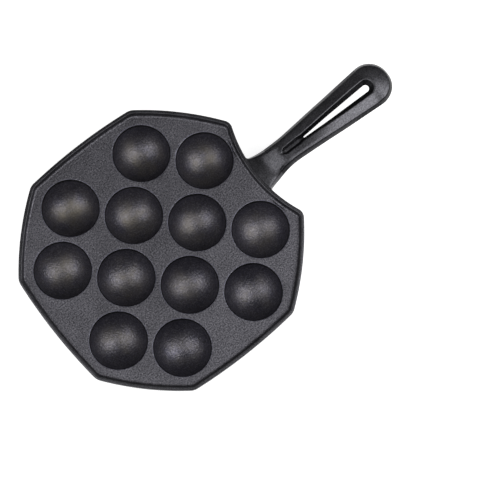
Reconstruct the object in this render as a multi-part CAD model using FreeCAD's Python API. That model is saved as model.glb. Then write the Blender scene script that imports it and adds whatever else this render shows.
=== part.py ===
import FreeCAD, Part
import math
import os

# Takoyaki pan, one iron casting, in millimetres.
# X runs along the handle, Z is up. The origin is on the standing face, under the middle of the pan's box.
# The casting is divided along its features into closed regions that meet face to face.

# Cups: half balls on a square grid that stands at 45 degrees to the handle
CUP_PITCH = 45.0
CUP_RADIUS = 20.0
CUP_WALL = 3.5
CUP_LIP = 1.2
CUP_ROWS = 4

# Heights
DECK_THICKNESS = 5.0
RIM_HEIGHT = 4.0
CUP_FLOOR_GAP = 0.5

# Body outline: eight bowed sides, measured at the widest place of the rim
FLAT_MARGIN = 11.7
DIAGONAL_MARGIN = 12.2
FLAT_BOW_RADIUS = 400.0
DIAGONAL_BOW_RADIUS = 220.0
HANDLE_SIDE_DIP = 9.1
HANDLE_SIDE_RADIUS = 101.8
BACK_CORNER_RADIUS = 10.0
FRONT_CORNER_RADIUS = 7.0
LEAST_CORNER_RADIUS = 1.0

# Rim
RIM_TOP_WIDTH = 2.6
RIM_INNER_DRAFT = 15.0
RIM_EDGE_ROUND = 1.0
RIM_UPRIGHT = 3.0
RIM_INNER_ROUND = 0.7
RIM_FOOT_ROUND = 1.5
RIM_BAND = 5.5

# Skirt
SKIRT_DRAFT = 13.0
SKIRT_WALL = 3.5
SKIRT_EDGE_ROUND = 0.8

# Handle, seen from above: distances along it are taken from the middle of the side it grows from
HANDLE_LENGTH = 117.5
HANDLE_NECK_WIDTH = 20.2
HANDLE_END_WIDTH = 31.2
HANDLE_ROOT_FILLET = 3.0
NECK_AT = 26.3
NECK_HOLLOW_RADIUS = 80.0
NECK_LENGTH = 22.5

# Handle, seen from the side: heights of the crest along its top are taken from the deck
CREST_AT_ROOT = 4.0
CREST_AT_NECK = 10.2
CREST_AT_TIP = 13.7
RAMP_START = 9.0
RAMP_END = 21.0
HANDLE_THICKNESS = 8.0
ROOT_THICKNESS = 13.0
HANDLE_BEND_RADIUS = 14.0
HANDLE_CROWN_RADIUS = 45.0
HANDLE_TOP_ROUND = 2.4
HANDLE_BOTTOM_ROUND = 3.2

# Hanging slot: a narrow teardrop with sloping sides, and a sloping run-in at its narrow end
SLOT_START = 41.0
SLOT_MIDDLE = 64.0
SLOT_END = 97.8
SLOT_START_WIDTH = 0.9
SLOT_MIDDLE_WIDTH = 3.3
SLOT_END_WIDTH = 5.4
SLOT_EDGE_DEPTH = 3.0
SLOT_TOP_SPREAD = 3.4
SLOT_BOTTOM_SPREAD = 1.2
RUN_IN_START = 23.5
RUN_IN_WIDTH = 3.0

# How far cutting shapes reach past what they cut, and the slope below which a face counts as upright
REACH = 5.0
LEVEL = 0.01

DECK_TOP = CUP_RADIUS + CUP_WALL + CUP_FLOOR_GAP
DECK_UNDER = DECK_TOP - DECK_THICKNESS
RIM_TOP = DECK_TOP + RIM_HEIGHT
WIDEST = RIM_TOP - RIM_EDGE_ROUND - RIM_UPRIGHT

# The outermost cups stand this far from the middle, across the flats and across the corners of the grid
OUTER_CUPS_FLAT = CUP_PITCH * math.sqrt(2)
OUTER_CUPS_DIAGONAL = CUP_PITCH * (CUP_ROWS - 1) / 2

HALF_FLAT = OUTER_CUPS_FLAT + CUP_RADIUS + FLAT_MARGIN
HALF_DIAGONAL = OUTER_CUPS_DIAGONAL + CUP_RADIUS + DIAGONAL_MARGIN
ROOT_X = HALF_FLAT - HANDLE_SIDE_DIP
TIP_X = ROOT_X + HANDLE_LENGTH
BODY_X = (HALF_FLAT - TIP_X) / 2


def point(x, y, z=0.0):
    return FreeCAD.Vector(x, y, z)


def polar(distance, degrees):
    angle = math.radians(degrees)
    return point(distance * math.cos(angle), distance * math.sin(angle))


def towards(start, end, distance):
    return start + (end - start).normalize() * distance


def arc(start, middle, end):
    return Part.Arc(start, middle, end).toShape()


def line(start, end):
    return Part.LineSegment(start, end).toShape()


def side(number):
    """Circle of one side of the body: its centre, its radius, and 1 if bowed out or -1 if bowed in."""
    if number % 8 == 0:
        return point(ROOT_X + HANDLE_SIDE_RADIUS, 0), HANDLE_SIDE_RADIUS, -1
    if number % 2:
        return polar(HALF_DIAGONAL - DIAGONAL_BOW_RADIUS, 45 * number), DIAGONAL_BOW_RADIUS, 1
    return polar(HALF_FLAT - FLAT_BOW_RADIUS, 45 * number), FLAT_BOW_RADIUS, 1


def meeting_point(centre_a, radius_a, centre_b, radius_b, near):
    """The meeting point of two circles that lies nearest to the given point."""
    between = centre_b - centre_a
    gap = between.Length
    along = (gap ** 2 + radius_a ** 2 - radius_b ** 2) / (2 * gap)
    across = math.sqrt(radius_a ** 2 - along ** 2)
    direction = between.normalize()
    foot = centre_a + direction * along
    sideways = point(-direction.y, direction.x) * across
    return min((foot + sideways, foot - sideways), key=lambda spot: spot.distanceToPoint(near))


def corner(number, inset):
    """Rounded corner after the given side: its first, middle and last point."""
    front = number % 8 in (0, 7)
    radius = max((FRONT_CORNER_RADIUS if front else BACK_CORNER_RADIUS) - inset, LEAST_CORNER_RADIUS)
    circles = []
    for centre, bow, sign in (side(number), side(number + 1)):
        circles.append((centre, bow - sign * inset, sign))
    (centre_a, bow_a, sign_a), (centre_b, bow_b, sign_b) = circles
    near = polar(HALF_DIAGONAL, 45 * number + 22.5)
    middle = meeting_point(centre_a, bow_a - sign_a * radius, centre_b, bow_b - sign_b * radius, near)
    first = towards(centre_a, middle, bow_a)
    last = towards(centre_b, middle, bow_b)
    halfway = middle + (first + last - middle * 2).normalize() * radius
    return first, halfway, last


def body_outline(inset, z):
    """Closed outline of the body, moved inwards by the inset, at height z."""
    corners = [corner(number, inset) for number in range(8)]
    edges = []
    for number in range(8):
        centre, bow, sign = side(number)
        start = corners[number - 1][2]
        end = corners[number][0]
        halfway = centre + (start + end - centre * 2).normalize() * (bow - sign * inset)
        edges.append(arc(start, halfway, end))
        edges.append(arc(*corners[number]))
    outline = Part.Wire(edges)
    outline.translate(point(0, 0, z))
    return outline


def outer_inset(z):
    """How far the drafted outer wall stands in from the widest place of the rim."""
    return max(WIDEST - z, 0) * math.tan(math.radians(SKIRT_DRAFT))


def rim_inner_inset(z):
    """How far the inner face of the rim stands in from the outline."""
    return RIM_TOP_WIDTH + (RIM_TOP - z) * math.tan(math.radians(RIM_INNER_DRAFT))


def stack(levels):
    """Solid through body outlines, given as (inset, z) from the bottom up."""
    return Part.makeLoft([body_outline(inset, z) for inset, z in levels], True, True)


def envelope():
    """The whole body without its hollows."""
    levels = [0, DECK_UNDER, WIDEST, RIM_TOP]
    return stack([(outer_inset(z), z) for z in levels])


def edges_at(shape, z, inset):
    """Edges of the shape that follow the body outline at the given inset and height."""
    outline = body_outline(inset, z)
    found = []
    for edge in shape.Edges:
        box = edge.BoundBox
        if abs(box.ZMin - z) > 0.01 or abs(box.ZMax - z) > 0.01:
            continue
        middle = edge.valueAt((edge.FirstParameter + edge.LastParameter) / 2)
        if outline.distToShape(Part.Vertex(middle))[0] < 0.05:
            found.append(edge)
    return found


def cup_centres():
    """Centres of the cups on the deck, row by row, without the four corner places of the grid."""
    last = (CUP_ROWS - 1) / 2
    centres = []
    for row in range(CUP_ROWS):
        for column in range(CUP_ROWS):
            across = (column - last) * CUP_PITCH
            along = (last - row) * CUP_PITCH
            if row in (0, CUP_ROWS - 1) and column in (0, CUP_ROWS - 1):
                continue
            turn = math.sqrt(0.5)
            centres.append(point((across + along) * turn, (along - across) * turn, DECK_TOP))
    return centres


def cup_hollow(centre):
    """Space inside a cup, flared at its mouth by the rounded lip."""
    lip_middle = math.sqrt(CUP_RADIUS ** 2 + 2 * CUP_RADIUS * CUP_LIP)
    ball = point(0, 0, 0)
    lip_centre = point(lip_middle, 0, -CUP_LIP)
    touch = towards(ball, lip_centre, CUP_RADIUS)
    bottom = point(0, 0, -CUP_RADIUS)
    bowl_angle = (math.atan2(touch.z, touch.x) - math.pi / 2) / 2
    bowl_middle = point(CUP_RADIUS * math.cos(bowl_angle), 0, CUP_RADIUS * math.sin(bowl_angle))
    lip_top = point(lip_middle, 0, 0)
    lip_halfway = lip_centre + (touch + lip_top - lip_centre * 2).normalize() * CUP_LIP
    above = point(lip_middle, 0, REACH)
    axis_top = point(0, 0, REACH)
    profile = [arc(bottom, bowl_middle, touch), arc(touch, lip_halfway, lip_top),
               line(lip_top, above), line(above, axis_top), line(axis_top, bottom)]
    hollow = Part.Face(Part.Wire(profile)).revolve(ball, point(0, 0, 1), 360)
    hollow.translate(centre)
    return hollow


def make_deck_plate(hollows):
    """Flat cooking surface with the mouths of the cups."""
    plate = stack([(RIM_BAND, DECK_UNDER), (RIM_BAND, DECK_TOP)])
    return plate.cut(hollows)


def make_rim(hollows):
    """Raised lip round the deck, down to the underside of the deck."""
    rim = stack([(outer_inset(z), z) for z in (DECK_UNDER, WIDEST, RIM_TOP)])
    above_deck = [(rim_inner_inset(z), z) for z in (DECK_TOP, RIM_TOP)]
    rim = rim.cut(stack(above_deck))
    rim = rim.cut(stack([(RIM_BAND, DECK_UNDER - REACH), (RIM_BAND, DECK_TOP)]))
    rim = rim.makeFillet(RIM_FOOT_ROUND, edges_at(rim, DECK_TOP, rim_inner_inset(DECK_TOP)))
    rim = rim.makeFillet(RIM_EDGE_ROUND, edges_at(rim, RIM_TOP, 0))
    rim = rim.makeFillet(RIM_INNER_ROUND, edges_at(rim, RIM_TOP, RIM_TOP_WIDTH))
    return rim.cut(hollows)


def skirt_inside():
    """Space inside the skirt, under the deck."""
    return stack([(outer_inset(z) + SKIRT_WALL, z) for z in (0, DECK_UNDER)])


def make_skirt():
    """Drafted wall from the underside of the deck down to the standing face."""
    skirt = stack([(outer_inset(z), z) for z in (0, DECK_UNDER)]).cut(skirt_inside())
    foot = edges_at(skirt, 0, outer_inset(0)) + edges_at(skirt, 0, outer_inset(0) + SKIRT_WALL)
    return skirt.makeFillet(SKIRT_EDGE_ROUND, foot)


def make_cup(centre, hollow):
    """Bowl of one cup below the deck, kept inside its own square of the grid and inside the skirt."""
    bowl = Part.makeSphere(CUP_RADIUS + CUP_WALL, centre)
    square = Part.makeBox(CUP_PITCH, CUP_PITCH, DECK_UNDER)
    square.translate(point(-CUP_PITCH / 2, -CUP_PITCH / 2))
    square.rotate(point(0, 0), point(0, 0, 1), 45)
    square.translate(point(centre.x, centre.y))
    return bowl.common(square).common(skirt_inside()).cut(hollow)


def handle_plan():
    """Outline of the handle seen from above, running on into the body at its root."""
    side_centre = side(0)[0]
    end_radius = HANDLE_END_WIDTH / 2
    end_centre = point(TIP_X - end_radius, 0)
    neck_centre = point(ROOT_X + NECK_AT, HANDLE_NECK_WIDTH / 2 + NECK_HOLLOW_RADIUS)
    fillet_centre = meeting_point(side_centre, HANDLE_SIDE_RADIUS - HANDLE_ROOT_FILLET, neck_centre,
                                  NECK_HOLLOW_RADIUS - HANDLE_ROOT_FILLET, point(ROOT_X, 0))
    on_body = towards(side_centre, fillet_centre, HANDLE_SIDE_RADIUS)
    on_neck = towards(neck_centre, fillet_centre, NECK_HOLLOW_RADIUS)
    root_middle = fillet_centre + (on_body + on_neck - fillet_centre * 2).normalize() * HANDLE_ROOT_FILLET
    between = neck_centre - end_centre
    slope = math.atan2(between.y, between.x) - math.acos((end_radius + NECK_HOLLOW_RADIUS) / between.Length)
    across = point(math.cos(slope), math.sin(slope))
    neck_end = neck_centre - across * NECK_HOLLOW_RADIUS
    end_start = end_centre + across * end_radius
    neck_middle = neck_centre + (on_neck + neck_end - neck_centre * 2).normalize() * NECK_HOLLOW_RADIUS
    inside = point(on_body.x - 2 * REACH, on_body.y)
    upper = [line(inside, on_body), arc(on_body, root_middle, on_neck), arc(on_neck, neck_middle, neck_end),
             line(neck_end, end_start)]
    lower = [edge.mirror(point(0, 0), point(0, 1, 0)) for edge in upper]
    end = arc(end_start, point(TIP_X, 0), point(end_start.x, -end_start.y))
    back = line(inside, point(inside.x, -inside.y))
    return Part.Wire(Part.__sortEdges__(upper + [end] + lower + [back]))


def bent_path(corners, radius):
    """Path along the given corners, with its bends rounded."""
    edges = []
    start = corners[0]
    for before, bend, after in zip(corners, corners[1:], corners[2:]):
        half_turn = (bend - before).getAngle(after - bend) / 2
        setback = radius * math.tan(half_turn)
        first = towards(bend, before, setback)
        last = towards(bend, after, setback)
        inwards = (first + last - bend * 2).normalize()
        halfway = bend + inwards * (radius / math.cos(half_turn) - radius)
        edges += [line(start, first), arc(first, halfway, last)]
        start = last
    return edges + [line(start, corners[-1])]


def handle_line(root, neck, tip):
    """Long line of the handle in the upright plane, from inside the body to past the tip."""
    corners = [point(ROOT_X - 2 * REACH, 0, DECK_TOP + root), point(ROOT_X + RAMP_START, 0, DECK_TOP + root),
               point(ROOT_X + RAMP_END, 0, DECK_TOP + neck), point(TIP_X + REACH, 0, DECK_TOP + tip)]
    return bent_path(corners, HANDLE_BEND_RADIUS)


def crest_height(along):
    """Height of the crest above the standing face, past the ramp, at a distance from the root."""
    slope = (CREST_AT_TIP - CREST_AT_NECK) / (HANDLE_LENGTH + REACH - RAMP_END)
    return DECK_TOP + CREST_AT_NECK + slope * (along - RAMP_END)


def handle_profile():
    """The handle's side view, from belly to crest, drawn out across its full width."""
    crest = handle_line(CREST_AT_ROOT, CREST_AT_NECK, CREST_AT_TIP)
    belly = handle_line(CREST_AT_ROOT - ROOT_THICKNESS, CREST_AT_NECK - HANDLE_THICKNESS,
                        CREST_AT_TIP - HANDLE_THICKNESS)
    root = line(belly[0].Vertexes[0].Point, crest[0].Vertexes[0].Point)
    tip = line(belly[-1].Vertexes[-1].Point, crest[-1].Vertexes[-1].Point)
    face = Part.Face(Part.Wire(Part.__sortEdges__(crest + belly + [root, tip])))
    face.translate(point(0, -HANDLE_END_WIDTH))
    return face.extrude(point(0, 2 * HANDLE_END_WIDTH))


def crown_section(start, along):
    """Upright section of the space above the crown, square to the crest where it starts."""
    half = HANDLE_END_WIDTH / 2 + REACH
    drop = HANDLE_CROWN_RADIUS - math.sqrt(HANDLE_CROWN_RADIUS ** 2 - half ** 2)
    sideways = point(0, half)
    up = along.cross(point(0, 1))
    left = start + sideways - up * drop
    right = start - sideways - up * drop
    high_left = start + sideways + up * REACH
    high_right = start - sideways + up * REACH
    return Part.Face(Part.Wire([arc(left, start, right), line(right, high_right), line(high_right, high_left),
                                line(high_left, left)]))


def above_crown():
    """The space above the crowned top of the handle, one piece for each stretch or bend of the crest."""
    pieces = []
    for edge in handle_line(CREST_AT_ROOT, CREST_AT_NECK, CREST_AT_TIP):
        first, last = edge.ParameterRange
        section = crown_section(edge.valueAt(first), edge.tangentAt(first))
        if edge.Curve.TypeId == "Part::GeomLine":
            pieces.append(section.extrude(edge.valueAt(last) - edge.valueAt(first)))
        else:
            pieces.append(section.revolve(edge.Curve.Center, edge.Curve.Axis, math.degrees(last - first)))
    return pieces


def slot_section(along, half_low, low, half_high, high):
    """Section across the handle at a distance from the root: a four-sided slot between two heights."""
    x = ROOT_X + along
    return Part.makePolygon([point(x, -half_low, low), point(x, half_low, low), point(x, half_high, high),
                             point(x, -half_high, high), point(x, -half_low, low)])


def slot_cut(places, depth_top, depth_bottom, spread):
    """Part of the slot between two depths under the crest. Positive spread widens it upwards."""
    sections = []
    for along, width in places:
        low = crest_height(along) - depth_bottom
        high = crest_height(along) - depth_top
        half_low = width / 2 + max(-spread, 0)
        half_high = width / 2 + max(spread, 0)
        sections.append(slot_section(along, half_low, low, half_high, high))
    straight = Part.makeLoft(sections, True, True)
    along, width = places[-1]
    low = crest_height(along) - depth_bottom
    round_end = Part.makeCone(width / 2 + max(-spread, 0), width / 2 + max(spread, 0), depth_bottom - depth_top,
                              point(ROOT_X + along, 0, low))
    return straight.fuse(round_end)


def slot():
    """The hanging slot: its sloping upper half, its lower half, and the run-in at its narrow end."""
    places = [(SLOT_START, SLOT_START_WIDTH), (SLOT_MIDDLE, SLOT_MIDDLE_WIDTH), (SLOT_END, SLOT_END_WIDTH)]
    overshoot = (SLOT_EDGE_DEPTH + REACH) / SLOT_EDGE_DEPTH
    upper = slot_cut(places, -REACH, SLOT_EDGE_DEPTH, SLOT_TOP_SPREAD * overshoot)
    lower = slot_cut(places, SLOT_EDGE_DEPTH, HANDLE_THICKNESS + REACH, -SLOT_BOTTOM_SPREAD)
    start_level = crest_height(RUN_IN_START)
    floor_level = crest_height(SLOT_START) - SLOT_EDGE_DEPTH
    run_in = Part.makeLoft([
        slot_section(RUN_IN_START, RUN_IN_WIDTH / 2, start_level, RUN_IN_WIDTH / 2, start_level + REACH),
        slot_section(SLOT_START, SLOT_START_WIDTH / 2, floor_level,
                     SLOT_START_WIDTH / 2 + SLOT_TOP_SPREAD * overshoot, floor_level + SLOT_EDGE_DEPTH + REACH),
    ], True, True)
    return [upper, lower, run_in]


def handle_body():
    """The handle before it is rounded and slotted."""
    plan = Part.Face(handle_plan())
    return plan.extrude(point(0, 0, 2 * DECK_TOP)).common(handle_profile()).cut(above_crown())


def face_normal(face):
    """Outward direction in the middle of a face."""
    low_u, high_u, low_v, high_v = face.ParameterRange
    return face.normalAt((low_u + high_u) / 2, (low_v + high_v) / 2)


def outer_edges(handle, upwards):
    """Edges between the upright flanks of the handle and its top or its underside, outside the body."""
    found = []
    for edge in handle.Edges:
        middle = edge.valueAt((edge.FirstParameter + edge.LastParameter) / 2)
        heights = [face_normal(face).z for face in handle.Faces
                   if any(other.isSame(edge) for other in face.Edges)]
        flanks = [height for height in heights if abs(height) < LEVEL]
        if middle.x > ROOT_X + 1 and len(heights) == 2 and len(flanks) == 1:
            if (sum(heights) > 0) == upwards:
                found.append(edge)
    return found


def make_handle():
    """The neck and the loop of the handle, cut off where they meet the body."""
    handle = handle_body().Solids[0]
    handle = handle.makeFillet(HANDLE_BOTTOM_ROUND, outer_edges(handle, False))
    handle = handle.makeFillet(HANDLE_TOP_ROUND, outer_edges(handle, True))
    handle = handle.cut(slot()).cut(envelope())
    split = Part.makeBox(ROOT_X + NECK_LENGTH, 4 * HANDLE_END_WIDTH, 4 * DECK_TOP,
                         point(0, -2 * HANDLE_END_WIDTH, -DECK_TOP))
    return handle.common(split), handle.cut(split)


if __name__ == "__main__":
    centres = cup_centres()
    hollows = [cup_hollow(centre) for centre in centres]
    pieces = {"deck_plate": make_deck_plate(hollows), "rim": make_rim(hollows), "skirt": make_skirt()}
    for number, (centre, hollow) in enumerate(zip(centres, hollows), 1):
        pieces["cup_%02d" % number] = make_cup(centre, hollow)
    pieces["handle_neck"], pieces["handle_loop"] = make_handle()
    os.makedirs("parts", exist_ok=True)
    for name, shape in pieces.items():
        solid = shape.Solids[0]
        solid.translate(point(BODY_X, 0))
        solid.exportStep("parts/%s.step" % name)
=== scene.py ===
"""Looks of a one-piece cast-iron takoyaki pan, seen from nearly straight above."""

import cmath
import math

import bpy
from mathutils import Matrix, Vector


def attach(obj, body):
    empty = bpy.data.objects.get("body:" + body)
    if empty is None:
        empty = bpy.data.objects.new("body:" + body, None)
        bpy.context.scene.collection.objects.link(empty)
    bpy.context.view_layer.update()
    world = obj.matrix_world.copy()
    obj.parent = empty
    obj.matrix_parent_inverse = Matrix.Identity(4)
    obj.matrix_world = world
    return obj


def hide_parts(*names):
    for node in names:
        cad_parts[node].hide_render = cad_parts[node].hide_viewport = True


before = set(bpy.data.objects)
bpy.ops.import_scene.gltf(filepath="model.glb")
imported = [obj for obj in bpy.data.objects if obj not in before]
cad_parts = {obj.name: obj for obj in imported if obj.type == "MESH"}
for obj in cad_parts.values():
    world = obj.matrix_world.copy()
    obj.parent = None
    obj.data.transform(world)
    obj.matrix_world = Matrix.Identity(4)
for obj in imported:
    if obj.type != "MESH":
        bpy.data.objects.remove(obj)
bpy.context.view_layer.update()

bl_info = {
    "name": "Takoyaki pan",
    "version": (1, 0, 0),
    "blender": (4, 5, 0),
    "location": "View3D > Sidebar > Pan",
    "description": "Builds a cast-iron takoyaki pan with twelve cups and a looped handle, and its studio",
    "category": "Object",
}

MM = 0.001
FACETS_ROUND_CUP = 96
FACETS_ON_SIDE = 40
FACETS_ON_CORNER = 10
# Radius of a plain primitive, before its vertices are laid out
BLANK = 0.1

# Plan of the body
HANDLE_SIDE_DIP = 9.1 * MM
HANDLE_SIDE_HOLLOW = 101.8 * MM
FLAT_BOW = 400 * MM
DIAGONAL_BOW = 220 * MM
CORNER_ROUND = 10 * MM
HANDLE_CORNER_ROUND = 7 * MM

# Sections of the rim and of the skirt
RIM_UPRIGHT = 4 * MM
RIM_TOP_WIDTH = 2.6 * MM
RIM_INNER_DRAFT = math.radians(15)
RIM_OUTER_ROUND = 1.0 * MM
RIM_INNER_ROUND = 0.7 * MM
RIM_FOOT_ROUND = 1.6 * MM
SKIRT_FOOT_ROUND = 0.8 * MM

# Handle, with places measured along it from its root
ROOT_ROUND = 3 * MM
NECK_PLACE = 26.3 * MM
NECK_HOLLOW = 80 * MM
SLOT_START = 41 * MM
SLOT_END = 97.8 * MM
SLOT_END_RADIUS = 2.65 * MM
SLOT_DEPTH = 3.6 * MM


# Sizes and colours that a user would change

class PanSizes(bpy.types.PropertyGroup):
    """Sizes of the casting."""
    cup_pitch: bpy.props.FloatProperty(
        name="Cup pitch", description="Distance between the middles of neighbouring cups",
        default=45.0 * MM, unit="LENGTH", precision=4)
    cup_radius: bpy.props.FloatProperty(
        name="Cup radius", description="Inner radius of a cup, which sets the size of the balls",
        default=20.0 * MM, unit="LENGTH", precision=4)
    cup_wall: bpy.props.FloatProperty(
        name="Cup wall", description="Thickness of the iron round a cup", default=3.5 * MM, unit="LENGTH",
        precision=4)
    cup_lip: bpy.props.FloatProperty(
        name="Cup lip", description="Radius of the rounded mouth of a cup", default=1.2 * MM, unit="LENGTH",
        precision=4)
    cup_ring: bpy.props.FloatProperty(
        name="Cup ring", description="Radius out to which the deck belongs to the cup", default=22.3 * MM,
        unit="LENGTH", precision=4)
    deck_top: bpy.props.FloatProperty(
        name="Deck height", description="Height of the cooking surface above the foot", default=24.0 * MM,
        unit="LENGTH", precision=4)
    deck_thickness: bpy.props.FloatProperty(
        name="Deck thickness", description="Thickness of the flat plate between the cups", default=5.0 * MM,
        unit="LENGTH", precision=4)
    rim_height: bpy.props.FloatProperty(
        name="Rim height", description="Height of the rim above the deck", default=4.0 * MM, unit="LENGTH",
        precision=4)
    rim_band: bpy.props.FloatProperty(
        name="Rim band", description="Width of the rim with the hollow at its foot", default=5.5 * MM,
        unit="LENGTH", precision=4)
    half_flat: bpy.props.FloatProperty(
        name="Half width, flats", description="From the middle of the body to that of a flat side",
        default=95.34 * MM, unit="LENGTH", precision=4)
    half_diagonal: bpy.props.FloatProperty(
        name="Half width, diagonals", description="From the middle of the body to that of a diagonal side",
        default=99.7 * MM, unit="LENGTH", precision=4)
    skirt_draft: bpy.props.FloatProperty(
        name="Skirt draft", description="Slope of the outer wall", default=math.radians(13.0),
        subtype="ANGLE")
    skirt_wall: bpy.props.FloatProperty(
        name="Skirt wall", description="Thickness of the outer wall", default=3.5 * MM, unit="LENGTH",
        precision=4)
    handle_length: bpy.props.FloatProperty(
        name="Handle length", description="From the side of the body to the tip", default=117.5 * MM,
        unit="LENGTH", precision=4)
    neck_width: bpy.props.FloatProperty(
        name="Neck width", description="Width of the handle at its narrowest place", default=20.2 * MM,
        unit="LENGTH", precision=4)
    end_width: bpy.props.FloatProperty(
        name="End width", description="Width of the handle at its rounded end", default=31.2 * MM,
        unit="LENGTH", precision=4)
    handle_thickness: bpy.props.FloatProperty(
        name="Handle thickness", description="From the loop's crest down to its underside", default=8.0 * MM,
        unit="LENGTH", precision=4)


class PanColours(bpy.types.PropertyGroup):
    """Colours of the iron and of the studio, as sRGB hex values."""
    deck: bpy.props.StringProperty(
        name="Deck", description="Seasoned sand-cast skin of the cooking surface", default="5e5d63")
    deck_light: bpy.props.StringProperty(
        name="Deck, lighter grains", description="Grains that the oil film has left greyer", default="7b7a80")
    deck_dark: bpy.props.StringProperty(
        name="Deck, pits", description="Pits of the sand skin, filled with seasoning", default="3e3d42")
    cup: bpy.props.StringProperty(
        name="Cup", description="Smoother, oilier iron inside the cups", default="585766")
    # Lighter than the cup's own colour: brown oil colour together with painted light low in each bowl
    cup_oil: bpy.props.StringProperty(
        name="Cup, oil tint", description="Thin brown oil film in the cups", default="6c675e")
    outside: bpy.props.StringProperty(
        name="Outside", description="Seasoned iron of rim, skirt and handle", default="505053")
    # Painted shade: near-black for the handle's flanks, the sides of its slot and the inner part of the cups'
    # lips
    painted_shade: bpy.props.StringProperty(
        name="Sooty", description="Thick dark oil on the handle's flanks and in its slot", default="242426")
    floor: bpy.props.StringProperty(
        name="Floor", description="Pale floor of the studio", default="dcdcdc")


def sizes():
    return bpy.context.scene.pan_sizes


def colour(hex_value):
    """Linear colour, with alpha, from an sRGB hex value."""
    out = []
    for place in (0, 2, 4):
        part = int(hex_value[place:place + 2], 16) / 255
        out.append(part / 12.92 if part <= 0.04045 else ((part + 0.055) / 1.055) ** 2.4)
    return (*out, 1.0)


# Plan of the body, as complex numbers x + iy round the middle of the deck, in metres

def turned(distance, degrees):
    return cmath.rect(distance, math.radians(degrees))


def step(start, end, distance):
    return start + (end - start) / abs(end - start) * distance


def root_x():
    """How far from the middle of the body its hollow side lies, where the handle starts."""
    return sizes().half_flat - HANDLE_SIDE_DIP


def body_x():
    """Where the middle of the body lies on the handle's line."""
    return (sizes().half_flat - root_x() - sizes().handle_length) / 2


def side_circle(number):
    """Circle of one of the eight sides: centre, radius, and 1 if bowed out or -1 if bowed in."""
    if number % 8 == 0:
        return complex(root_x() + HANDLE_SIDE_HOLLOW), HANDLE_SIDE_HOLLOW, -1
    if number % 2:
        return turned(sizes().half_diagonal - DIAGONAL_BOW, 45 * number), DIAGONAL_BOW, 1
    return turned(sizes().half_flat - FLAT_BOW, 45 * number), FLAT_BOW, 1


def crossing(centre_a, radius_a, centre_b, radius_b, near):
    """Where two circles cross, on the side of the given point."""
    gap = abs(centre_b - centre_a)
    along = (gap ** 2 + radius_a ** 2 - radius_b ** 2) / (2 * gap)
    across = math.sqrt(radius_a ** 2 - along ** 2)
    direction = (centre_b - centre_a) / gap
    found = [centre_a + direction * complex(along, across * way) for way in (1, -1)]
    return min(found, key=lambda spot: abs(spot - near))


def corner_circle(number, inset):
    """Rounded corner after a side: centre, first point, last point."""
    beside_handle = number % 8 in (0, 7)
    radius = max((HANDLE_CORNER_ROUND if beside_handle else CORNER_ROUND) - inset, 1 * MM)
    (centre_a, bow_a, sign_a), (centre_b, bow_b, sign_b) = side_circle(number), side_circle(number + 1)
    bow_a -= sign_a * inset
    bow_b -= sign_b * inset
    near = turned(sizes().half_diagonal, 45 * number + 22.5)
    middle = crossing(centre_a, bow_a - sign_a * radius, centre_b, bow_b - sign_b * radius, near)
    return middle, step(centre_a, middle, bow_a), step(centre_b, middle, bow_b)


def arc_points(centre, start, end, count):
    """Points along an arc, the short way round, without its last one."""
    turn = cmath.phase((end - centre) / (start - centre))
    return [centre + (start - centre) * cmath.rect(1, turn * place / count) for place in range(count)]


def body_outline(inset):
    """Outline of the body, moved inwards, always with the same number of points."""
    corners = [corner_circle(number, inset) for number in range(8)]
    points = []
    for number in range(8):
        start, end = corners[number - 1][2], corners[number][1]
        points += arc_points(side_circle(number)[0], start, end, FACETS_ON_SIDE)
        points += arc_points(*corners[number], FACETS_ON_CORNER)
    return points


def widest_height():
    """Lowest height of the rim's upright band, where the draft of the wall begins."""
    return sizes().deck_top + sizes().rim_height - RIM_UPRIGHT


def outer_inset(height):
    """How far the drafted outer wall stands in from the rim's upright band."""
    return max(widest_height() - height, 0) * math.tan(sizes().skirt_draft)


# Helpers for modelling

def deselect_all():
    if bpy.context.mode != "OBJECT":
        bpy.ops.object.mode_set(mode="OBJECT")
    bpy.ops.object.select_all(action="DESELECT")


def named(name):
    """The object just added, under its own name."""
    made = bpy.context.active_object
    made.name = name
    made.data.name = name
    return made


def place_vertices(made, where):
    """Moves each vertex of a primitive to the place that a rule gives for it."""
    for vertex in made.data.vertices:
        vertex.co = where(vertex.co)
    made.data.update()


def finish_mesh(made, sharp_degrees, *materials):
    """Merges doubles, points the faces outwards, smooths and dresses a mesh."""
    deselect_all()
    made.select_set(True)
    bpy.context.view_layer.objects.active = made
    bpy.ops.object.mode_set(mode="EDIT")
    bpy.ops.mesh.select_all(action="SELECT")
    bpy.ops.mesh.remove_doubles(threshold=1e-6)
    bpy.ops.mesh.normals_make_consistent(inside=False)
    bpy.ops.object.mode_set(mode="OBJECT")
    bpy.ops.object.shade_smooth_by_angle(angle=math.radians(sharp_degrees))
    for material in materials:
        made.data.materials.append(material)


def apply_modifier(made, kind, **settings):
    deselect_all()
    made.select_set(True)
    bpy.context.view_layer.objects.active = made
    modifier = made.modifiers.new(kind.title(), kind)
    for name, value in settings.items():
        setattr(modifier, name, value)
    bpy.ops.object.modifier_apply(modifier=modifier.name)


def declare(made, slot, *nodes):
    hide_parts(*nodes)
    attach(made, "root")


def ring_round_body(name, section):
    """A ring that follows the body's outline. The section is a closed line of (inset, height)."""
    count = len(body_outline(0))
    levels = len(section)
    outlines = [body_outline(inset) for inset, height in section]
    deselect_all()
    bpy.ops.mesh.primitive_torus_add(major_segments=count, minor_segments=levels, major_radius=BLANK,
                                     minor_radius=BLANK / 10)
    made = named(name)

    def where(old):
        round_body = round(math.atan2(old.y, old.x) / math.tau * count) % count
        outwards = math.hypot(old.x, old.y) - BLANK
        round_section = round(math.atan2(old.z, outwards) / math.tau * levels) % levels
        spot = outlines[round_section][round_body]
        return Vector((spot.real + body_x(), spot.imag, section[round_section][1]))

    place_vertices(made, where)
    return made


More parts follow.
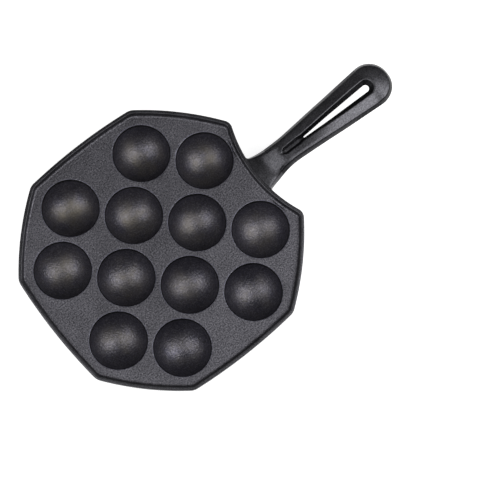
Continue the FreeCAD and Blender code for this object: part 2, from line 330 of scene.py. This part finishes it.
def round_off(corner, before, after, radius, count):
    """Points of an arc that rounds a corner of a section."""
    corner, before, after = complex(*corner), complex(*before), complex(*after)
    half = abs(cmath.phase((before - corner) / (after - corner))) / 2
    first = step(corner, before, radius / math.tan(half))
    last = step(corner, after, radius / math.tan(half))
    middle = step(corner, (first + last) / 2, radius / math.sin(half))
    points = arc_points(middle, first, last, count) + [last]
    return [(spot.real, spot.imag) for spot in points]


def cup_middles():
    """Middles of the cups on the deck, row by row, without the corners of the grid."""
    pitch = sizes().cup_pitch
    found = []
    for row in range(4):
        for column in range(4):
            if row in (0, 3) and column in (0, 3):
                continue
            spot = complex((column - 1.5) * pitch, (1.5 - row) * pitch)
            found.append(complex(spot.real + spot.imag, spot.imag - spot.real) * math.sqrt(0.5))
    return found


# Pieces

def deck_plate(material):
    """Flat plate inside the rim, bored for the cups."""
    size = sizes()
    outline = body_outline(size.rim_band)
    count = len(outline)
    deselect_all()
    bpy.ops.mesh.primitive_circle_add(vertices=count, radius=BLANK, fill_type="NGON",
                                      location=(0, 0, size.deck_top))
    made = named("bored_deck")
    bpy.ops.object.transform_apply(location=True)

    def where(old):
        spot = outline[round(math.atan2(old.y, old.x) / math.tau * count) % count]
        return Vector((spot.real + body_x(), spot.imag, size.deck_top))

    place_vertices(made, where)
    bpy.ops.object.mode_set(mode="EDIT")
    bpy.ops.mesh.select_all(action="SELECT")
    bpy.ops.mesh.extrude_region_move(TRANSFORM_OT_translate={"value": (0, 0, -size.deck_thickness)})
    bpy.ops.object.mode_set(mode="OBJECT")
    finish_mesh(made, 30)
    drills = []
    for middle in cup_middles():
        deselect_all()
        bpy.ops.mesh.primitive_cylinder_add(vertices=FACETS_ROUND_CUP, radius=size.cup_ring,
                                            depth=4 * size.deck_thickness,
                                            location=(middle.real + body_x(), middle.imag, size.deck_top))
        drills.append(bpy.context.active_object)
    for drill in drills:
        drill.select_set(True)
    bpy.ops.object.join()
    drill = bpy.context.active_object
    apply_modifier(made, "BOOLEAN", object=drill, operation="DIFFERENCE", solver="EXACT")
    bpy.data.objects.remove(drill)
    finish_mesh(made, 30, material)
    declare(made, "deck_iron", "deck_plate")


def cup_profile():
    """Line from the bottom of the bowl, over the lip and back down the outside, as (radius, height)."""
    size = sizes()
    bowl_steps, lip_steps, outside_steps = 40, 8, 24
    lip_middle = math.sqrt(size.cup_radius ** 2 + 2 * size.cup_radius * size.cup_lip)
    meet = math.atan2(-size.cup_lip, lip_middle)
    line = []
    for place in range(bowl_steps + 1):
        angle = -math.pi / 2 + (meet + math.pi / 2) * place / bowl_steps
        line.append((size.cup_radius * math.cos(angle), size.cup_radius * math.sin(angle)))
    for place in range(1, lip_steps + 1):
        angle = math.pi + meet - (math.pi / 2 + meet) * place / lip_steps
        line.append((lip_middle + size.cup_lip * math.cos(angle),
                     -size.cup_lip + size.cup_lip * math.sin(angle)))
    outer = size.cup_radius + size.cup_wall
    line += [(size.cup_ring, 0.0), (size.cup_ring, -size.deck_thickness)]
    first = math.acos(size.cup_ring / outer)
    for place in range(outside_steps + 1):
        angle = -(first + (math.pi / 2 - first) * place / outside_steps)
        line.append((outer * math.cos(angle), outer * math.sin(angle)))
    return line


def cups(inside, outside, lip):
    """One bowl, turned from its profile, and its eleven copies."""
    size = sizes()
    line = cup_profile()
    rings = len(line) - 1
    deselect_all()
    bpy.ops.mesh.primitive_uv_sphere_add(segments=FACETS_ROUND_CUP, ring_count=rings, radius=BLANK)
    made = named("bowl")

    def where(old):
        radius, height = line[round(math.acos(max(-1, min(1, old.z / BLANK))) / math.pi * rings)]
        angle = math.atan2(old.y, old.x)
        return Vector((radius * math.cos(angle), radius * math.sin(angle), height))

    place_vertices(made, where)
    # The third finish, lip, is the near-black painted shade for the inner part of each lip
    finish_mesh(made, 35, inside, outside, lip)
    mouth = size.cup_radius + size.cup_lip
    middle_of_wall = size.cup_radius + size.cup_wall / 2
    # Painted shade: the inner part of each lip gets the near-black finish, which draws a dark line round each
    # cup where the lip would catch a highlight
    shaded_lip_from, shaded_lip_to = size.cup_radius - 0.1 * MM, size.cup_radius + 0.75 * MM
    for face in made.data.polygons:
        reach = math.hypot(face.center.x, face.center.y)
        if reach > mouth or face.center.length > middle_of_wall:
            face.material_index = 1
        elif shaded_lip_from < reach < shaded_lip_to:
            face.material_index = 2
    for number, middle in enumerate(cup_middles(), 1):
        copy = bpy.data.objects.new("bowl_%02d" % number, made.data.copy())
        copy.data.name = copy.name
        bpy.context.scene.collection.objects.link(copy)
        copy.data.transform(Matrix.Translation((middle.real + body_x(), middle.imag, size.deck_top)))
        declare(copy, "cup_iron", "cup_%02d" % number)
    bpy.data.objects.remove(made)


def rim(outside, inside):
    """Raised lip round the deck, with its rounded top and the hollow at its foot."""
    size = sizes()
    under = size.deck_top - size.deck_thickness
    top = size.deck_top + size.rim_height
    # The wall's draft eases into the upright band over this much below and above the bend
    bend_below, bend_above = widest_height() - 0.4 * MM, widest_height() + 0.3 * MM
    band_top = (0, top - 1.2 * MM)
    outer_edge = (0, top)
    inner_edge = (RIM_TOP_WIDTH, top)
    foot = (RIM_TOP_WIDTH + size.rim_height * math.tan(RIM_INNER_DRAFT), size.deck_top)
    deck_edge = (size.rim_band, size.deck_top)
    section = [(outer_inset(under), under), (outer_inset(bend_below), bend_below), (0, bend_above), band_top]
    section += round_off(outer_edge, band_top, inner_edge, RIM_OUTER_ROUND, 8)
    section += round_off(inner_edge, outer_edge, foot, RIM_INNER_ROUND, 6)
    section += round_off(foot, inner_edge, deck_edge, RIM_FOOT_ROUND, 10)
    section += [deck_edge, (size.rim_band, under)]
    made = ring_round_body("raised_rim", section)
    finish_mesh(made, 35, outside, inside)
    # The hollow at the rim's foot has the sandy skin of the deck, up to where it gets steep
    hollow_top, steep = size.deck_top + 2.2 * MM, 0.3
    for face in made.data.polygons:
        if face.normal.z > steep and face.center.z < hollow_top:
            face.material_index = 1
    declare(made, "outside_iron", "rim")


def skirt(material):
    """Drafted wall under the rim, down to the foot."""
    size = sizes()
    under = size.deck_top - size.deck_thickness
    foot = (outer_inset(0), 0.0)
    foot_inside = (outer_inset(0) + size.skirt_wall, 0.0)
    top = (outer_inset(under), under)
    top_inside = (outer_inset(under) + size.skirt_wall, under)
    section = [top_inside] + round_off(foot_inside, top_inside, foot, SKIRT_FOOT_ROUND, 5)
    section += round_off(foot, foot_inside, top, SKIRT_FOOT_ROUND, 5) + [top]
    made = ring_round_body("drafted_skirt", section[::-1])
    finish_mesh(made, 35, material)
    declare(made, "outside_iron", "skirt")


def bent(x, corners, spread):
    """Height of a line of straight stretches whose bends are eased over a length on both sides."""
    height = corners[0][1]
    for (x0, z0), (x1, z1) in zip(corners, corners[1:]):
        if x >= x0:
            height = z0 + (z1 - z0) * (x - x0) / (x1 - x0)
    for (x0, z0), (x1, z1), (x2, z2) in zip(corners, corners[1:], corners[2:]):
        if abs(x - x1) < spread:
            before = (z1 - z0) / (x1 - x0)
            after = (z2 - z1) / (x2 - x1)
            height = z1 + before * (x - x1) + (after - before) * (x - x1 + spread) ** 2 / (4 * spread)
    return height


def crest(x):
    """Height of the handle's crest above the foot, at a distance from its root."""
    # Each corner is (distance from the root, height above the deck): rim, ramp, loop and drooping tip
    corners = [(-10 * MM, 3.5 * MM), (9 * MM, 3.8 * MM), (21 * MM, 10.2 * MM), (107 * MM, 13.5 * MM),
               (120 * MM, 10.5 * MM)]
    return sizes().deck_top + bent(x, corners, 4 * MM)


def belly(x):
    """Height of the handle's underside above the foot, at a distance from its root."""
    # It meets the wall 9 mm under the deck's top, then runs below the loop at the handle's thickness
    thick = sizes().handle_thickness
    corners = [(-10 * MM, -9 * MM), (7 * MM, -9 * MM), (21 * MM, 10.2 * MM - thick),
               (122.5 * MM, 13.7 * MM - thick)]
    return sizes().deck_top + bent(x, corners, 6.5 * MM)


def between(x, stations):
    """Value at x on a smooth line through pairs of place and value, level beyond its ends."""
    for (start, first), (end, second) in zip(stations, stations[1:]):
        if x < end:
            share = min(max((x - start) / (end - start), 0.0), 1.0)
            return first + (second - first) * share * share * (3 - 2 * share)
    return stations[-1][1]


def crown_drop(x, y):
    """How far the top falls away from the middle line: round over the neck, a soft ridge over the loop."""
    slope = between(x, [(2 * MM, 0.16), (14 * MM, 0.34), (34 * MM, 0.14), (46 * MM, 0.13), (75 * MM, 0.29),
                        (102 * MM, 0.29)])
    soft = between(x, [(2 * MM, 3.5 * MM), (14 * MM, 4 * MM), (50 * MM, 1.2 * MM), (98 * MM, 1.2 * MM),
                       (108 * MM, 4.5 * MM)])
    return math.hypot(y * slope, soft) - soft


def handle_flank():
    """Outer line of one half of the handle, from inside the rim to the tip."""
    size = sizes()
    side, hollow, _ = side_circle(0)
    neck = complex(root_x() + NECK_PLACE, size.neck_width / 2 + NECK_HOLLOW)
    end_radius = size.end_width / 2
    end = complex(root_x() + size.handle_length - end_radius)
    middle = crossing(side, hollow - ROOT_ROUND, neck, NECK_HOLLOW - ROOT_ROUND, complex(root_x()))
    on_body = step(side, middle, hollow)
    on_neck = step(neck, middle, NECK_HOLLOW)
    slope = cmath.phase(neck - end) - math.acos((end_radius + NECK_HOLLOW) / abs(neck - end))
    across = cmath.rect(1, slope)
    neck_end = neck - across * NECK_HOLLOW
    end_start = end + across * end_radius
    # The first point lies a little inside the rim, so that no gap shows between them
    points = [step(side, middle, hollow + 0.8 * MM)]
    points += arc_points(middle, on_body, on_neck, 10)
    points += arc_points(neck, on_neck, neck_end, 24)
    points += [neck_end + (end_start - neck_end) * place / 36 for place in range(36)]
    points += arc_points(end, end_start, end + end_radius, 28) + [end + end_radius]
    return points


def slot_half_width(x):
    """Half the width of the hanging slot at its narrowest level, at a distance from the root."""
    places = [(SLOT_START, 0.35 * MM), (64 * MM, 1.6 * MM), (SLOT_END, SLOT_END_RADIUS)]
    return bent(x, places, 6 * MM)


def handle_inner_line(flank):
    """For each point of the flank, the point of the slot's edge, or of the middle line, that faces it."""
    size = sizes()
    slot_end = complex(root_x() + SLOT_END)
    end_x = root_x() + size.handle_length - size.end_width / 2
    # The inner points lag behind at the root, and fall back again where the slot ends before the flank does
    root_lag, lag_fades, lead_start = 1.9 * MM, 12 * MM, 60 * MM
    points = []
    for spot in flank:
        if spot.real > end_x:
            turn = cmath.phase(spot - end_x)
            points.append(slot_end + cmath.rect(SLOT_END_RADIUS, turn))
            continue
        x = spot.real - root_x()
        at_root = min(1.0, max(0.0, 1 - (x - root_lag) / lag_fades))
        at_end = min(1.0, max(0.0, (x - lead_start) / (end_x - root_x() - lead_start)))
        x -= root_lag * at_root + (end_x - slot_end.real) * at_end ** 2
        points.append(complex(root_x() + x, slot_half_width(x) if x >= SLOT_START else 0.0))
    return points


def handle_section(outer, inner):
    """Points across half the handle: belly, flank, crown, side of the slot and floor of its run-in."""
    width = abs(outer - inner)
    along = (inner.real - root_x()) / MM
    inwards = (inner - outer) / width
    slotted = inner.real - root_x() >= SLOT_START
    # Stations along the handle are in millimetres. Before the slot comes its run-in, half as deep
    deep = between(along, [(21.5, 0.0), (25.5, 0.5), (37.5, 0.52), (42, 1.0)])
    floor_half = between(along, [(21.5, 0.3), (25.5, 1.0), (36, 1.0), (41, 0.35)]) * MM
    side = between(along, [(21.5, 0.6), (25.5, 1.7), (46, 2.1), (98, 3.3)]) * MM

    def rise(reach):
        place = outer + inwards * reach
        return crest(place.real - root_x()) - crown_drop(place.real - root_x(), place.imag)

    def fall(reach):
        return belly((outer + inwards * reach).real - root_x())

    def spot(reach, height):
        place = outer + inwards * reach
        return Vector((place.real + body_x(), max(place.imag, 0.0), height))

    # The sides flare outwards and down to the parting line, below which the belly's rounding begins
    flare = between(along, [(10, 0.4), (45, 0.4), (75, 0.5)]) * MM
    flare *= min(1.0, max(0.0, outer.imag) / (10 * MM)) * min(1.0, max(0.0, along) / 10)
    edge = between(along, [(2, 1.3), (45, 1.3), (70, 1.5), (102, 1.5), (113, 2.0)]) * MM
    round_top = between(along, [(2, 1.5), (20, 2.6), (45, 2.4), (70, 1.7), (100, 1.7), (113, 3.6)]) * MM
    round_belly = 2.2 * MM
    flank_height = 3.6 * MM
    high = rise(edge)
    parting = max(high - flank_height, fall(0) + round_belly)
    line = []
    slot_chamfer = 1.2 * MM
    belly_end = width - (slot_chamfer if slotted else 0)
    for place in range(5):
        reach = belly_end + (round_belly - flare - belly_end) * place / 4
        line.append(spot(reach, fall(reach)))
    for place in range(1, 9):
        angle = math.pi / 2 * place / 8
        line.append(spot(round_belly * (1 - math.sin(angle)) - flare,
                         fall(0) + (parting - fall(0)) * (1 - math.cos(angle))))
    # The rounded edge turns from the flank's lean to the crown's own slope, and is moved to meet both
    lean = math.atan2(edge + flare, high - parting)
    crown_slope = math.radians(12)
    shift_out, shift_up = 0.35 * MM, 0.05 * MM
    for place in range(9):
        angle = lean + (math.pi / 2 - lean - crown_slope) * place / 8
        reach = edge + round_top * (math.sin(math.pi / 2 - crown_slope) - math.cos(angle)) - shift_out
        line.append(spot(reach, high - round_top * (1.0 - math.sin(angle)) + shift_up))
    # The crown stops a little short of the slot's mouth, whose edge and floor sit a little lower
    short, edge_drop, floor_drop = 0.4 * MM * deep, 0.1 * MM * deep, 0.3 * MM * deep
    mouth = width - (side if slotted else floor_half + side)
    first = edge + round_top
    for place in range(10):
        reach = first + (mouth - short - first) * place / 9
        line.append(spot(reach, rise(reach)))
    edge_of_slot = width if slotted else width - floor_half
    floor = crest(inner.real - root_x()) - SLOT_DEPTH * deep
    lip = rise(mouth) - edge_drop
    for share in (0.0, 0.1, 0.2, 0.8, 0.9):
        line.append(spot(mouth + (edge_of_slot - mouth) * share, lip + (floor - lip) * share - edge_drop))
    for share in (0.0, 0.3, 0.65, 1.0):
        line.append(spot(edge_of_slot + (width - edge_of_slot) * share, floor - floor_drop))
    return line


def handle(material, painted_shade_material):
    """Neck and loop of the handle, one half laid out station by station and then mirrored."""
    flank = handle_flank()
    inner = handle_inner_line(flank)
    sections = []
    first_slotted = None
    for outer_spot, inner_spot in zip(flank, inner):
        if inner_spot.real - root_x() >= SLOT_START and first_slotted is None:
            first_slotted = len(sections)
        sections.append(handle_section(outer_spot, inner_spot))
    # One more section, closed on the middle line, ends the neck and starts the two bars of the loop
    start = [spot.copy() for spot in sections[first_slotted]]
    for place in (0, -1):
        start[place].y = 0.0
    sections.insert(first_slotted, start)
    stations = len(sections) - 1
    around = len(sections[0])
    deselect_all()
    bpy.ops.mesh.primitive_grid_add(x_subdivisions=stations, y_subdivisions=around, size=2)
    made = named("looped_handle")

    def where(old):
        station = round((old.x + 1) / 2 * stations)
        place = round((old.y + 1) / 2 * around) % around
        return sections[station][place]

    # The grid's last row closes each section round, but before the slot there is no wall to close
    unwalled = []
    for face in made.data.polygons:
        if face.center.y > 1 - 2 / around and (face.center.x + 1) / 2 * stations < first_slotted:
            unwalled.append(face.index)
    bpy.ops.object.mode_set(mode="EDIT")
    bpy.ops.mesh.select_mode(type="FACE")
    bpy.ops.mesh.select_all(action="DESELECT")
    bpy.ops.object.mode_set(mode="OBJECT")
    for number in unwalled:
        made.data.polygons[number].select = True
    place_vertices(made, where)
    bpy.ops.object.mode_set(mode="EDIT")
    bpy.ops.mesh.delete(type="FACE")
    bpy.ops.mesh.select_mode(type="VERT")
    bpy.ops.mesh.select_all(action="SELECT")
    bpy.ops.mesh.remove_doubles(threshold=1e-6)
    bpy.ops.mesh.dissolve_degenerate(threshold=1e-7)
    bpy.ops.object.mode_set(mode="OBJECT")
    apply_modifier(made, "MIRROR", use_axis=(False, True, False), use_mirror_merge=True, merge_threshold=1e-5)
    bpy.ops.object.mode_set(mode="EDIT")
    bpy.ops.mesh.select_mode(type="EDGE")
    bpy.ops.mesh.select_all(action="DESELECT")
    bpy.ops.mesh.select_non_manifold(extend=False, use_wire=False, use_multi_face=False,
                                     use_non_contiguous=False, use_verts=False)
    bpy.ops.mesh.edge_face_add()
    bpy.ops.object.mode_set(mode="OBJECT")
    finish_mesh(made, 40, material, painted_shade_material)
    # Painted shade: faces on the flanks and on the sloping sides of the slot, from halfway up the ramp on,
    # take the near-black finish, picked by which way they face
    facing_down, facing_up = -0.6, 0.83
    painted_shade_from = body_x() + root_x() + 14 * MM
    for face in made.data.polygons:
        if facing_down < face.normal.z < facing_up and face.center.x > painted_shade_from:
            face.material_index = 1
    declare(made, "outside_iron", "handle_neck", "handle_loop")


# Materials

def node(tree, kind, links=(), **settings):
    """Adds a node. Each link is (input, node, output); a setting named in_X is the value of input X."""
    made = tree.nodes.new("ShaderNode" + kind)
    for name, value in settings.items():
        if name.startswith("in_"):
            key = name[3:]
            made.inputs[int(key) if key.isdigit() else key.replace("_", " ")].default_value = value
        else:
            setattr(made, name, value)
    for socket, source, output in links:
        tree.links.new(source.outputs[output], made.inputs[socket])
    return made


def new_material(name):
    material = bpy.data.materials.new(name)
    material.use_nodes = True
    material.node_tree.nodes.clear()
    return material, material.node_tree


def seasoned_iron(name, tones, grain_size, grain_depth, roughness, tint=None, painted_light_span=None):
    """Sand-cast iron under baked-on oil. Its tones are the skin, the light grains and the dark pits."""
    # Inputs 1 to 4 of a MapRange node are its range from and to, then the range that it gives
    skin, light, dark = tones
    material, tree = new_material(name)
    place = node(tree, "TexCoord")
    # Grains of casting sand are about 0.4 mm. That is too fine to show, so they are drawn two to three times
    # coarser: their pits are darker and their tops catch the light, which gives a fine even speckle
    grain = node(tree, "TexNoise", [("Vector", place, "Object")], in_Scale=1 / grain_size, in_Detail=1.0,
                 in_Roughness=0.5)
    # Oil bakes on in patches as wide as a fingertip, which vary a little in tone and in shine
    patches = node(tree, "TexNoise", [("Vector", place, "Object")], in_Scale=1 / (14 * MM), in_Detail=4.0,
                   in_Roughness=0.6)
    # Uneven heat gives slow changes of tone across the whole pan
    broad = node(tree, "TexNoise", [("Vector", place, "Object")], in_Scale=1 / (70 * MM), in_Detail=2.0)
    colours = node(tree, "ValToRGB", [("Fac", grain, "Fac")])
    colours.color_ramp.elements.new(0.5)
    for stop, (position, tone) in zip(colours.color_ramp.elements, [(0.3, dark), (0.5, skin), (0.72, light)]):
        stop.position = position
        stop.color = tone
    patch_shade = node(tree, "MapRange", [("Value", patches, "Fac")], in_1=0.3, in_2=0.7,
                       in_3=0.88, in_4=1.12)
    broad_shade = node(tree, "MapRange", [("Value", broad, "Fac")], in_1=0.3, in_2=0.7, in_3=0.9, in_4=1.1)
    shade = node(tree, "Math", [(0, patch_shade, 0), (1, broad_shade, 0)], operation="MULTIPLY")
    if painted_light_span:
        # Painted shade and light along the handle: the colour runs darker over the rim, the skirt and the
        # neck and lighter towards the handle's end, standing in for how the lamps reach each part
        along = node(tree, "SeparateXYZ", [(0, place, "Object")])
        painted_light_ramp = node(tree, "MapRange", [("Value", along, "X")], in_1=painted_light_span[0], in_2=painted_light_span[1],
                    in_3=0.82, in_4=1.08)
        shade = node(tree, "Math", [(0, shade, 0), (1, painted_light_ramp, 0)], operation="MULTIPLY")
    shaded = node(tree, "VectorMath", [(0, colours, "Color"), ("Scale", shade, 0)], operation="SCALE")
    last, last_output = shaded, 0
    if tint:
        # Brown oil colour mixed with painted light: the tint is lighter than the cup's own colour, so each
        # bowl is painted lighter low down and darker up its walls, and browner in the cups on the handle's
        # left
        patch = node(tree, "MapRange", [("Value", patches, "Fac")], in_1=0.35, in_2=0.65, in_3=0.2, in_4=0.95)
        across = node(tree, "SeparateXYZ", [(0, place, "Object")])
        left = node(tree, "MapRange", [("Value", across, "Y")], in_1=-60 * MM, in_2=60 * MM,
                    in_3=0.55, in_4=0.95)
        low = node(tree, "MapRange", [("Value", across, "Z")], in_1=18 * MM, in_2=5 * MM, in_3=0.0, in_4=1.0)
        side = node(tree, "Math", [(0, patch, 0), (1, left, 0)], operation="MULTIPLY")
        oil_tint_and_painted_light = node(tree, "Math", [(0, side, 0), (1, low, 0)], operation="MULTIPLY")
        last = node(tree, "Mix", [(0, oil_tint_and_painted_light, 0), (6, shaded, 0)], data_type="RGBA", in_7=tint)
        last_output = 2
    shine = node(tree, "MapRange", [("Value", patches, "Fac")], in_1=0.3, in_2=0.7, in_3=roughness - 0.06,
                 in_4=roughness + 0.06)
    bump = node(tree, "Bump", [("Height", grain, 0)], in_Strength=1.0, in_Distance=grain_depth)
    shader = node(tree, "BsdfPrincipled", [("Base Color", last, last_output), ("Roughness", shine, 0),
                                           ("Normal", bump, "Normal")], in_Metallic=0.9)
    node(tree, "OutputMaterial", [("Surface", shader, "BSDF")])
    return material


def get_material(name):
    """The four finishes of the iron, made when first asked for."""
    if name in bpy.data.materials:
        return bpy.data.materials[name]
    tones = bpy.context.scene.pan_colours
    deck, light, dark = colour(tones.deck), colour(tones.deck_light), colour(tones.deck_dark)
    cup, oil = colour(tones.cup), colour(tones.cup_oil)
    outside, painted_shade = colour(tones.outside), colour(tones.painted_shade)
    if name == "seasoned_sand_cast_deck":
        # Cooking surface: sand-cast iron under a thin baked film. To the eye an even, dull, speckled grey
        return seasoned_iron(name, (deck, light, dark), 1.0 * MM, 0.15 * MM, 0.5)
    if name == "oiled_iron_cup":
        # Cups: the same iron, oiled at every use. To the eye darker, with two soft reflections low in each
        # bowl and a brown cast, painted lighter low in the bowl and darker up the walls
        return seasoned_iron(name, (cup, light, outside), 1.1 * MM, 0.24 * MM, 0.44, tint=oil)
    if name == "painted_shade_iron":
        # Flanks and slot of the handle, and lips of the cups: painted shade, a nearly black finish laid where
        # the faces turn away from the lamps, so that it draws the edges
        return seasoned_iron(name, (painted_shade, dark, painted_shade), 0.9 * MM, 0.05 * MM, 0.4)
    # Rim, skirt and crown of the handle: thick seasoning, satin. To the eye black, with soft bright lines
    # along the rounded edges
    # Painted shade darkens this finish up to the loop, and painted light brightens it towards the handle's
    # end
    loop = body_x() + root_x() + 40 * MM
    painted_light_span = (loop, loop + 40 * MM)
    return seasoned_iron(name, (outside, deck, dark), 0.9 * MM, 0.05 * MM, 0.34, painted_light_span=painted_light_span)


# Studio

def aim(thing, target):
    thing.rotation_mode = "QUATERNION"
    thing.rotation_quaternion = (target - thing.location).to_track_quat("-Z", "Y")


def softbox(name, place, width, depth, power, target):
    """A rectangular lamp at a place measured from the target, turned towards it."""
    lamp = bpy.data.lights.new(name, "AREA")
    lamp.shape = "RECTANGLE"
    lamp.size = width
    lamp.size_y = depth
    lamp.energy = power
    thing = bpy.data.objects.new(name, lamp)
    bpy.context.scene.collection.objects.link(thing)
    thing.location = target + place
    aim(thing, target)


def studio():
    scene = bpy.context.scene
    deck_middle = Vector((body_x(), 0, sizes().deck_top))
    # The camera's place, axes and long lens were fitted to the mouths of the twelve cups in the photograph
    from_deck = Vector((-0.2030, -0.3104, 1.9373))
    right = Vector((0.7810, -0.6243, 0.0138))
    up = Vector((0.6114, 0.7689, 0.1872))
    back = Vector((-0.1276, -0.1377, 0.9822))
    lens_millimetres, sensor_millimetres = 201.6, 36
    camera = bpy.data.objects.new("camera", bpy.data.cameras.new("camera"))
    scene.collection.objects.link(camera)
    camera.location = deck_middle + from_deck
    turn = Matrix((right, up, back)).transposed()
    camera.rotation_mode = "QUATERNION"
    camera.rotation_quaternion = turn.to_quaternion()
    camera.data.lens = lens_millimetres
    camera.data.sensor_width = sensor_millimetres
    camera.data.clip_start = 0.01
    scene.camera = camera

    # The lamps are placed in the picture's own directions: across it, up it, and above the deck
    sideways = Vector((0.781, -0.624, 0))
    upwards = Vector((0.611, 0.769, 0))
    upright = Vector((0, 0, 1))

    def spot(across, along, above):
        return (sideways * across + upwards * along + upright * above) * MM

    softbox("softbox_left", spot(-400, -240, 500), 0.55, 0.55, 2.3, deck_middle)
    softbox("softbox_right", spot(450, 10, 500), 0.55, 0.55, 2.8, deck_middle)
    softbox("fill", spot(120, -330, 900), 0.8, 0.8, 1.5, deck_middle)

    deselect_all()
    floor_width, below_foot = 6, 0.5 * MM
    bpy.ops.mesh.primitive_plane_add(size=floor_width, location=(0, 0, -below_foot))
    floor = named("floor")
    bpy.ops.object.transform_apply(location=True)
    material, tree = new_material("painted_studio_floor")
    # Matt white paint: the camera and reflections see it a little lighter, so that it fades into white
    fade = 0.78
    seen = node(tree, "LightPath")
    looks = node(tree, "Math", [(0, seen, "Is Camera Ray"), (1, seen, "Is Glossy Ray")], operation="MAXIMUM")
    looks = node(tree, "Math", [(0, looks, 0), (1, seen, "Is Transmission Ray")], operation="MAXIMUM")
    glow = node(tree, "Math", [(0, looks, 0)], operation="MULTIPLY", in_1=fade)
    paint = node(tree, "BsdfPrincipled", [("Emission Strength", glow, 0)], in_Roughness=0.9,
                 in_Base_Color=colour(scene.pan_colours.floor), in_Emission_Color=(1, 1, 1, 1))
    node(tree, "OutputMaterial", [("Surface", paint, "BSDF")])
    floor.data.materials.append(material)

    world = bpy.data.worlds.new("studio")
    scene.world = world
    world.use_nodes = True
    tree = world.node_tree
    tree.nodes.clear()
    # White behind the floor to the camera, but only a dim light on the pan, so that the lamps shape it
    dim, white = 0.1, 1.0
    seen = node(tree, "LightPath")
    looks = node(tree, "Math", [(0, seen, "Is Camera Ray"), (1, seen, "Is Transmission Ray")],
                 operation="MAXIMUM")
    strength = node(tree, "MapRange", [("Value", looks, 0)], in_1=0.0, in_2=1.0, in_3=dim, in_4=white)
    light = node(tree, "Background", [("Strength", strength, 0)], in_Color=(1, 1, 1, 1))
    node(tree, "OutputWorld", [("Surface", light, "Background")])
    scene.view_settings.view_transform = "Standard"


# Operators and panel

class MakeDeck(bpy.types.Operator):
    """Makes the flat cooking surface, bored for the cups"""
    bl_idname = "pan.make_deck"
    bl_label = "Deck"

    def execute(self, context):
        deck_plate(get_material("seasoned_sand_cast_deck"))
        return {"FINISHED"}


class MakeCups(bpy.types.Operator):
    """Makes the twelve cups"""
    bl_idname = "pan.make_cups"
    bl_label = "Cups"

    def execute(self, context):
        cups(get_material("oiled_iron_cup"), get_material("seasoned_sand_cast_deck"),
             get_material("painted_shade_iron"))
        return {"FINISHED"}


class MakeRim(bpy.types.Operator):
    """Makes the raised rim round the deck"""
    bl_idname = "pan.make_rim"
    bl_label = "Rim"

    def execute(self, context):
        rim(get_material("satin_black_iron"), get_material("seasoned_sand_cast_deck"))
        return {"FINISHED"}


class MakeSkirt(bpy.types.Operator):
    """Makes the drafted wall that the pan stands on"""
    bl_idname = "pan.make_skirt"
    bl_label = "Skirt"

    def execute(self, context):
        skirt(get_material("satin_black_iron"))
        return {"FINISHED"}


class MakeHandle(bpy.types.Operator):
    """Makes the handle with its hanging slot"""
    bl_idname = "pan.make_handle"
    bl_label = "Handle"

    def execute(self, context):
        handle(get_material("satin_black_iron"), get_material("painted_shade_iron"))
        return {"FINISHED"}


class MakeStudio(bpy.types.Operator):
    """Makes the floor, the lamps and the camera"""
    bl_idname = "pan.make_studio"
    bl_label = "Studio"

    def execute(self, context):
        studio()
        return {"FINISHED"}


class PanPanel(bpy.types.Panel):
    """Sizes, colours and steps of the takoyaki pan"""
    bl_idname = "VIEW3D_PT_takoyaki_pan"
    bl_label = "Takoyaki pan"
    bl_space_type = "VIEW_3D"
    bl_region_type = "UI"
    bl_category = "Pan"

    def draw(self, context):
        for group in (context.scene.pan_sizes, context.scene.pan_colours):
            column = self.layout.column(align=True)
            for name in group.__annotations__:
                column.prop(group, name)
        for operator in OPERATORS:
            self.layout.operator(operator.bl_idname)


OPERATORS = (MakeDeck, MakeCups, MakeRim, MakeSkirt, MakeHandle, MakeStudio)
CLASSES = (PanSizes, PanColours, *OPERATORS, PanPanel)


def register():
    for kind in CLASSES:
        bpy.utils.register_class(kind)
    bpy.types.Scene.pan_sizes = bpy.props.PointerProperty(type=PanSizes)
    bpy.types.Scene.pan_colours = bpy.props.PointerProperty(type=PanColours)


def unregister():
    del bpy.types.Scene.pan_colours
    del bpy.types.Scene.pan_sizes
    for kind in reversed(CLASSES):
        bpy.utils.unregister_class(kind)


def main():
    register()
    bpy.ops.pan.make_deck()
    bpy.ops.pan.make_cups()
    bpy.ops.pan.make_rim()
    bpy.ops.pan.make_skirt()
    bpy.ops.pan.make_handle()
    bpy.ops.pan.make_studio()


if __name__ == "__main__":
    main()
